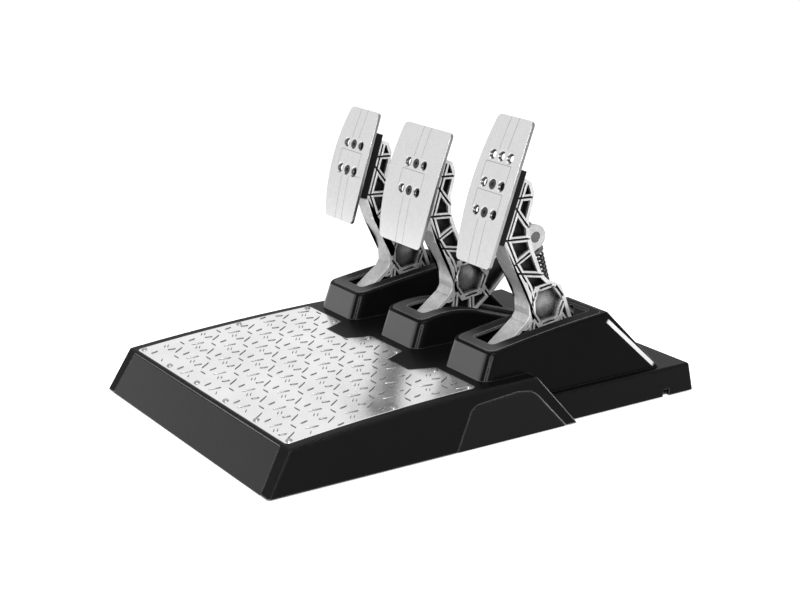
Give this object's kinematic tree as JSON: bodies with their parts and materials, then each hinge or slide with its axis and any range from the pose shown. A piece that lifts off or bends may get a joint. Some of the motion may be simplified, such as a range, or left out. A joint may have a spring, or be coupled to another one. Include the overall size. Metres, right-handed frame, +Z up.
{
  "type": "sim racing pedal set",
  "caption": "Floor-standing pedal set with a footrest plate and clutch, brake and throttle pedals on cast ribbed arms, the brake working against a coil spring.",
  "frame": {"origin": "bottom centre of the base, on the floor", "axes": "+X to the driver's right, +Y away from the driver, +Z up"},
  "size_m": [0.292, 0.43, 0.2551],
  "materials": {
    "black_plastic": "satin moulded",
    "grey_plastic": "satin, light grey",
    "dark_plastic": "matte",
    "tread_metal": "pressed sheet, semi-bright",
    "cast_metal": "die-cast, blasted, machined rims",
    "brushed_metal": "brushed lengthwise",
    "knuckle_metal": "matte grey coat",
    "black_steel": "black coat, satin",
    "zinc_steel": "zinc plated",
    "spring_steel": "black oxide",
    "bright_steel": "ground",
    "rubber": "matte",
    "board_green": "solder mask",
    "acetal": "natural acetal",
    "magnet_nickel": "nickel plated"
  },
  "bodies": {
    "base": {"front_casing": "black_plastic", "rear_casing": "black_plastic", "footrest_plate": "tread_metal", "footrest_screws": "bright_steel", "front_fascia": "black_plastic", "left_side_panel": "black_plastic", "right_side_panel": "black_plastic", "floor_plate": "black_steel", "rubber_feet": "rubber", "casing_screws": "zinc_steel", "load_cell": "bright_steel", "load_cell_yoke": "black_steel", "load_cell_screws": "black_steel", "return_spring_cups": "acetal", "rest_stops": "rubber", "clutch_return_spring": "spring_steel", "throttle_return_spring": "spring_steel", "main_board": "board_green", "cable_socket": "dark_plastic", "sensor_boards": "board_green", "sensor_brackets": "zinc_steel", "clutch_housing": "black_plastic", "clutch_slot_bezel": "grey_plastic", "clutch_pivot_bracket": "zinc_steel", "clutch_pivot_bushes": "acetal", "brake_housing": "black_plastic", "brake_slot_bezel": "grey_plastic", "brake_pivot_bracket": "zinc_steel", "brake_pivot_bushes": "acetal", "throttle_housing": "black_plastic", "throttle_slot_bezel": "grey_plastic", "throttle_pivot_bracket": "zinc_steel", "throttle_pivot_bushes": "acetal"},
    "clutch_pedal": {"clutch_pedal_arm": "cast_metal", "clutch_face_plate": "brushed_metal", "clutch_face_spacer": "dark_plastic", "clutch_face_screws": "black_steel", "clutch_axle": "bright_steel", "clutch_return_seat": "acetal", "clutch_magnet": "magnet_nickel"},
    "brake_pedal": {"brake_pedal_arm": "cast_metal", "brake_face_plate": "brushed_metal", "brake_face_spacer": "dark_plastic", "brake_face_screws": "black_steel", "brake_axle": "bright_steel"},
    "throttle_pedal": {"throttle_pedal_arm": "cast_metal", "throttle_face_plate": "brushed_metal", "throttle_face_spacer": "dark_plastic", "throttle_face_screws": "black_steel", "throttle_axle": "bright_steel", "throttle_return_seat": "acetal", "throttle_magnet": "magnet_nickel"},
    "spring_knuckle": {"brake_knuckle": "knuckle_metal", "brake_rod": "bright_steel", "brake_spring_top_seat": "knuckle_metal", "brake_rod_nut": "zinc_steel"},
    "spring_trunnion": {"load_cell_trunnion": "black_steel", "brake_spring_bottom_seat": "black_steel", "brake_spring": "spring_steel"}
  },
  "joints": [
    {"name": "clutch_pivot", "type": "hinge", "parent": "base", "child": "clutch_pedal", "pos_m": [-0.1, 0.0075, 0.055], "axis": [-1, 0, 0], "range_deg": [0, 20], "stiffness_Nm_per_rad": 4, "springref_deg": -20.05, "deforming": ["clutch_return_spring"]},
    {"name": "brake_pivot", "type": "hinge", "parent": "base", "child": "brake_pedal", "pos_m": [0, 0.0075, 0.055], "axis": [-1, 0, 0], "range_deg": [0, 7.5], "stiffness_Nm_per_rad": 90, "springref_deg": -1.72, "deforming": ["brake_spring"]},
    {"name": "throttle_pivot", "type": "hinge", "parent": "base", "child": "throttle_pedal", "pos_m": [0.1, 0.015, 0.055], "axis": [-1, 0, 0], "range_deg": [0, 17], "stiffness_Nm_per_rad": 4, "springref_deg": -20.05, "deforming": ["throttle_return_spring"]},
    {"name": "knuckle_pivot", "type": "hinge", "parent": "brake_pedal", "child": "spring_knuckle", "pos_m": [0, 0.136, 0.123], "axis": [-1, 0, 0], "range_deg": [-5.1, 0]},
    {"name": "trunnion_pivot", "type": "hinge", "parent": "base", "child": "spring_trunnion", "pos_m": [0, 0.158, 0.05], "axis": [-1, 0, 0], "range_deg": [0, 2.5]}
  ],
  "couplings": [
    {"joint": "knuckle_pivot", "follows": "brake_pivot", "ratio": -0.675},
    {"joint": "trunnion_pivot", "follows": "brake_pivot", "ratio": 0.325}
  ]
}
